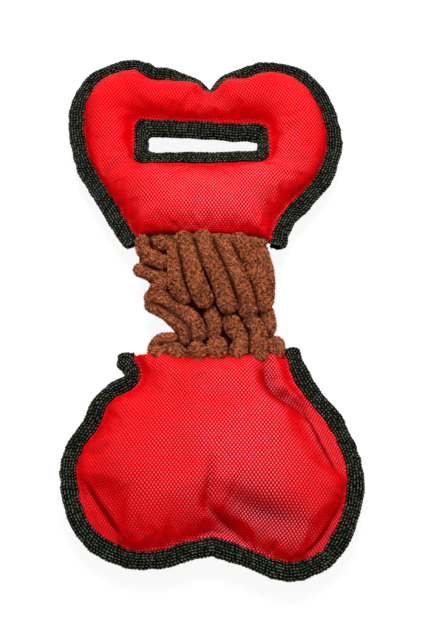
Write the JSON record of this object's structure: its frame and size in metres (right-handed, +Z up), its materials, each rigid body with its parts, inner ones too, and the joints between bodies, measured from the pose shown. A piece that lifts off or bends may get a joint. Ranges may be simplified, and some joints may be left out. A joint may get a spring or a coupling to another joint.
{
  "type": "dog tug toy",
  "caption": "Bone-shaped cloth tug toy with padded red ends bound in dark webbing, a hand slot in one end and a stretchy gathered plush middle.",
  "frame": {"origin": "on the floor under the middle of the toy's box, with the toy lying on its back", "axes": "+X to the right and +Y along the toy from the bite end to the handle end, +Z up out of the front"},
  "size_m": [0.1922, 0.383, 0.0476],
  "materials": {
    "red_nylon": "coarse woven ballistic nylon with a faint sheen on the raised threads",
    "dark_webbing": "heavy woven webbing, nearly black with a green cast, matt",
    "brown_plush": "wide-ribbed cut pile, deep matt with a soft sheen on the crests",
    "polyester_fill": "loose fibre",
    "elastic_webbing": "woven elastic, matt",
    "squeaker_plastic": "soft moulded plastic, satin"
  },
  "bodies": {
    "bite_end": {"bite_front_panel": "red_nylon", "bite_back_panel": "red_nylon", "bite_stuffing_front": "polyester_fill", "bite_stuffing_back": "polyester_fill", "bite_edge_binding": "dark_webbing", "bite_strap_anchor": "dark_webbing", "squeaker_bulb": "squeaker_plastic", "squeaker_reed": "squeaker_plastic"},
    "sleeve": {"plush_sleeve": "brown_plush"},
    "strap": {"elastic_strap": "elastic_webbing"},
    "handle_end": {"handle_front_panel": "red_nylon", "handle_back_panel": "red_nylon", "handle_stuffing": "polyester_fill", "handle_edge_binding": "dark_webbing", "handle_slot_binding": "dark_webbing", "handle_strap_anchor": "dark_webbing"}
  },
  "joints": [
    {"name": "middle_bend", "type": "hinge", "parent": "bite_end", "child": "sleeve", "pos_m": [0, -0.032, 0.017], "axis": [1, 0, 0], "range_deg": [-90, 90], "deforming": ["plush_sleeve"]},
    {"name": "middle_twist", "type": "hinge", "parent": "sleeve", "child": "strap", "pos_m": [0, -0.012, 0.017], "axis": [0, 1, 0], "range_deg": [-90, 90]},
    {"name": "bungee_stretch", "type": "slide", "parent": "strap", "child": "handle_end", "axis": [0, 1, 0], "range_m": [0, 0.1], "stiffness_N_per_m": 600, "deforming": ["elastic_strap"]}
  ]
}
